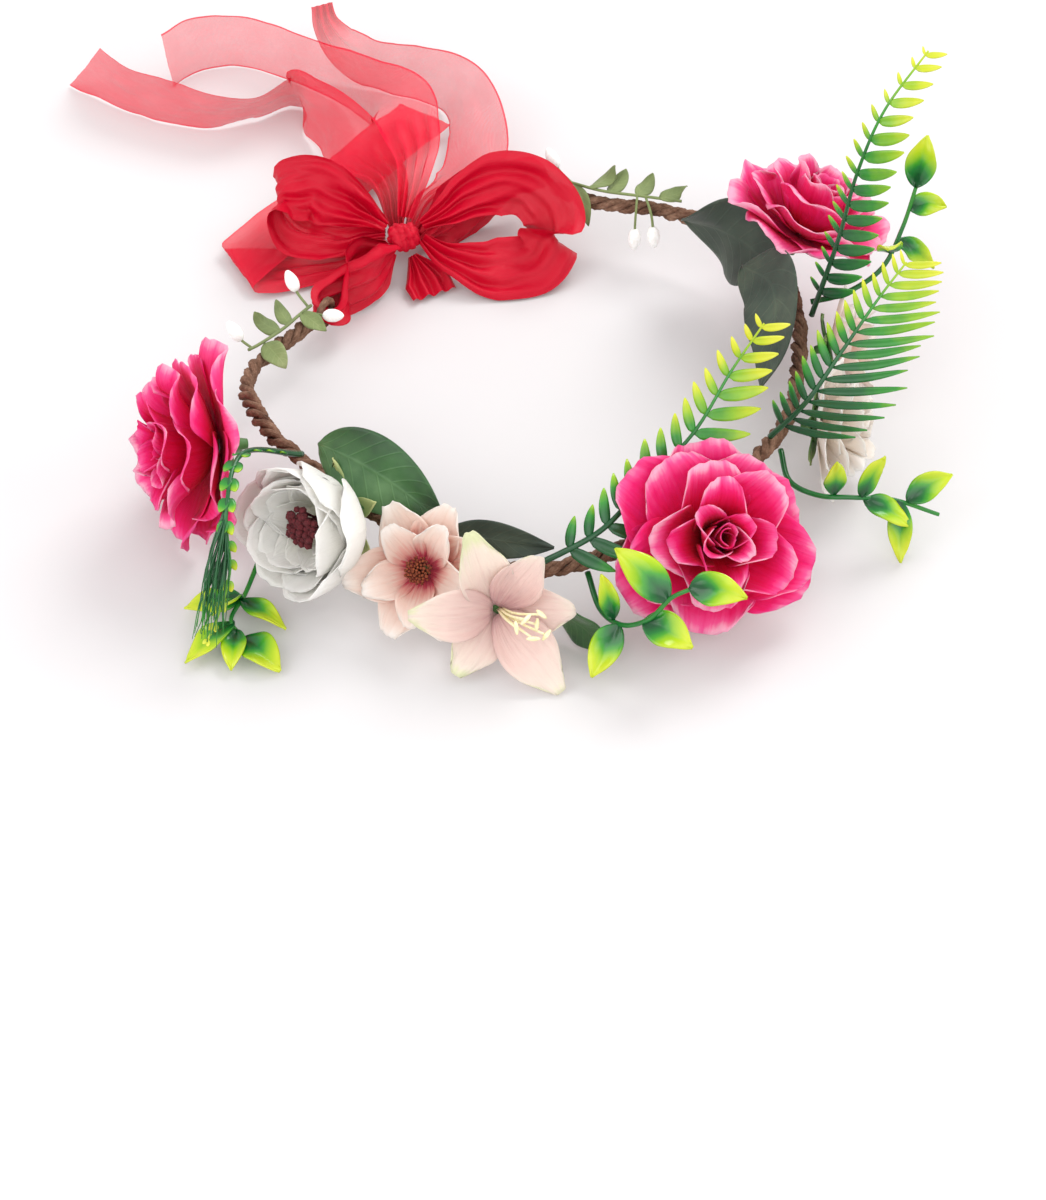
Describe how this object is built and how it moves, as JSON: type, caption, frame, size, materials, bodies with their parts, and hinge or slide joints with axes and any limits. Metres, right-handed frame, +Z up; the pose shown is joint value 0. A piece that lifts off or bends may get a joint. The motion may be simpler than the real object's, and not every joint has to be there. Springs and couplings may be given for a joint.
{
  "type": "flower crown",
  "caption": "Head wreath of silk flowers, cloth leaves and plastic ferns on a twisted wire-cored vine, open at the back and tied there with a sheer ribbon bow.",
  "frame": {"origin": "centre of the head opening, level with the lowest petals and ribbon that the crown lies on", "axes": "+Z up out of the head opening, -Y towards the front of the wreath, +Y towards the ribbon bow at the back, +X to the wreath's right as seen from the front"},
  "size_m": [0.3295, 0.3469, 0.1363],
  "materials": {
    "florist_wire": "satin",
    "paper_vine": "matt twisted paper",
    "rose_petal": "soft matt cloth",
    "rose_heart": "soft matt cloth",
    "ivory_petal": "soft matt cloth",
    "burgundy_stamen": "matt",
    "peach_petal": "soft matt cloth",
    "rust_stamen": "matt",
    "blush_petal": "soft matt cloth",
    "cream_stamen": "matt",
    "cream_petal": "soft matt cloth",
    "calyx": "matt moulded",
    "leaf_underside": "dull woven cloth",
    "leaf_satin": "satin woven cloth",
    "fern_plastic": "glossy moulded, green to lime",
    "sprig_plastic": "glossy moulded, green to lime",
    "sage_leaf": "matt cloth leaves and foam buds",
    "organza": "sheer woven ribbon"
  },
  "bodies": {
    "root": {"bow_loop_left": "organza", "bow_loop_right": "organza", "core_wire": "florist_wire", "cream_rose_calyx": "calyx", "cream_rose_heart": "cream_petal", "cream_rose_outer_petals": "cream_petal", "lead_left": "organza", "lead_right": "organza", "leaf_back_lower": "leaf_underside", "leaf_back_upper": "leaf_underside", "leaf_front": "leaf_satin", "leaf_satin": "leaf_satin", "leaf_under_lily": "leaf_satin", "lily_calyx": "calyx", "lily_petals": "blush_petal", "lily_stamens": "cream_stamen", "magnolia_calyx": "calyx", "magnolia_petals": "peach_petal", "magnolia_stamens": "rust_stamen", "pale_magnolia_calyx": "calyx", "pale_magnolia_petals": "peach_petal", "ranunculus_calyx": "calyx", "ranunculus_inner_petals": "ivory_petal", "ranunculus_outer_petals": "ivory_petal", "ranunculus_stamens": "burgundy_stamen", "ribbon_knot": "organza", "rose_back_calyx": "calyx", "rose_back_heart": "rose_heart", "rose_back_inner_petals": "rose_petal", "rose_back_outer_petals": "rose_petal", "rose_left_calyx": "calyx", "rose_left_heart": "rose_heart", "rose_left_inner_petals": "rose_petal", "rose_left_outer_petals": "rose_petal", "rose_right_calyx": "calyx", "rose_right_heart": "rose_heart", "rose_right_inner_petals": "rose_petal", "rose_right_outer_petals": "rose_petal", "tail_arch": "organza", "tail_cross": "organza", "tail_far": "organza", "tail_flap": "organza", "tail_short": "organza", "vine_strand_a": "paper_vine", "vine_strand_b": "paper_vine"},
    "left_vine_end": {"left_end_strand_a": "paper_vine", "left_end_strand_b": "paper_vine", "left_garland": "sage_leaf"},
    "right_vine_end": {"right_end_strand_a": "paper_vine", "right_end_strand_b": "paper_vine", "right_garland": "sage_leaf"},
    "front_fern": {"fern_front": "fern_plastic"},
    "right_fern": {"fern_right": "fern_plastic"},
    "back_fern": {"fern_back": "fern_plastic"},
    "left_fern": {"fern_left": "fern_plastic"},
    "front_sprig": {"sprig_front": "sprig_plastic"},
    "right_sprig": {"sprig_right": "sprig_plastic"},
    "back_sprig": {"sprig_back": "sprig_plastic"},
    "left_sprig": {"sprig_left": "sprig_plastic"}
  },
  "joints": [
    {"name": "left_end_bend", "type": "hinge", "parent": "root", "child": "left_vine_end", "pos_m": [-0.091, -0.012, 0.023], "axis": [0, 0, 1], "range_deg": [-6, 6], "deforming": ["lead_left"]},
    {"name": "right_end_bend", "type": "hinge", "parent": "root", "child": "right_vine_end", "pos_m": [0.07, 0.078, 0.025], "axis": [0, 0, 1], "range_deg": [-6, 5], "deforming": ["lead_right"]},
    {"name": "fern_front_flex", "type": "hinge", "parent": "root", "child": "front_fern", "pos_m": [0.009, -0.101, 0.0256], "axis": [-0.8889, 0.1111, 0.4444], "range_deg": [0, 10], "stiffness_Nm_per_rad": 0.02},
    {"name": "fern_right_flex", "type": "hinge", "parent": "root", "child": "right_fern", "pos_m": [0.087, -0.046, 0.031], "axis": [-0.722, 0.3094, 0.6189], "range_deg": [-10, 5], "stiffness_Nm_per_rad": 0.02},
    {"name": "fern_back_flex", "type": "hinge", "parent": "root", "child": "back_fern", "pos_m": [0.1055, 0.019, 0.029], "axis": [-0.762, 0.635, 0.127], "range_deg": [-8, 8], "stiffness_Nm_per_rad": 0.02},
    {"name": "fern_left_flex", "type": "hinge", "parent": "root", "child": "left_fern", "pos_m": [-0.07, -0.056, 0.0325], "axis": [0.8296, -0.5185, 0.2074], "range_deg": [-4, 2], "stiffness_Nm_per_rad": 0.02},
    {"name": "sprig_front_flex", "type": "hinge", "parent": "root", "child": "front_sprig", "pos_m": [0.025, -0.097, 0.0178], "axis": [0, 0, 1], "range_deg": [-4, 4], "stiffness_Nm_per_rad": 0.02},
    {"name": "sprig_right_flex", "type": "hinge", "parent": "root", "child": "right_sprig", "pos_m": [0.0915, -0.041, 0.0203], "axis": [0, 0, 1], "range_deg": [-4, 4], "stiffness_Nm_per_rad": 0.02},
    {"name": "sprig_back_flex", "type": "hinge", "parent": "root", "child": "back_sprig", "pos_m": [0.1055, 0.025, 0.03], "axis": [0, 0, 1], "range_deg": [-3, 5], "stiffness_Nm_per_rad": 0.02},
    {"name": "sprig_left_flex", "type": "hinge", "parent": "root", "child": "left_sprig", "pos_m": [-0.072, -0.057, 0.022], "axis": [0, 0, 1], "range_deg": [-5, 2], "stiffness_Nm_per_rad": 0.02}
  ]
}
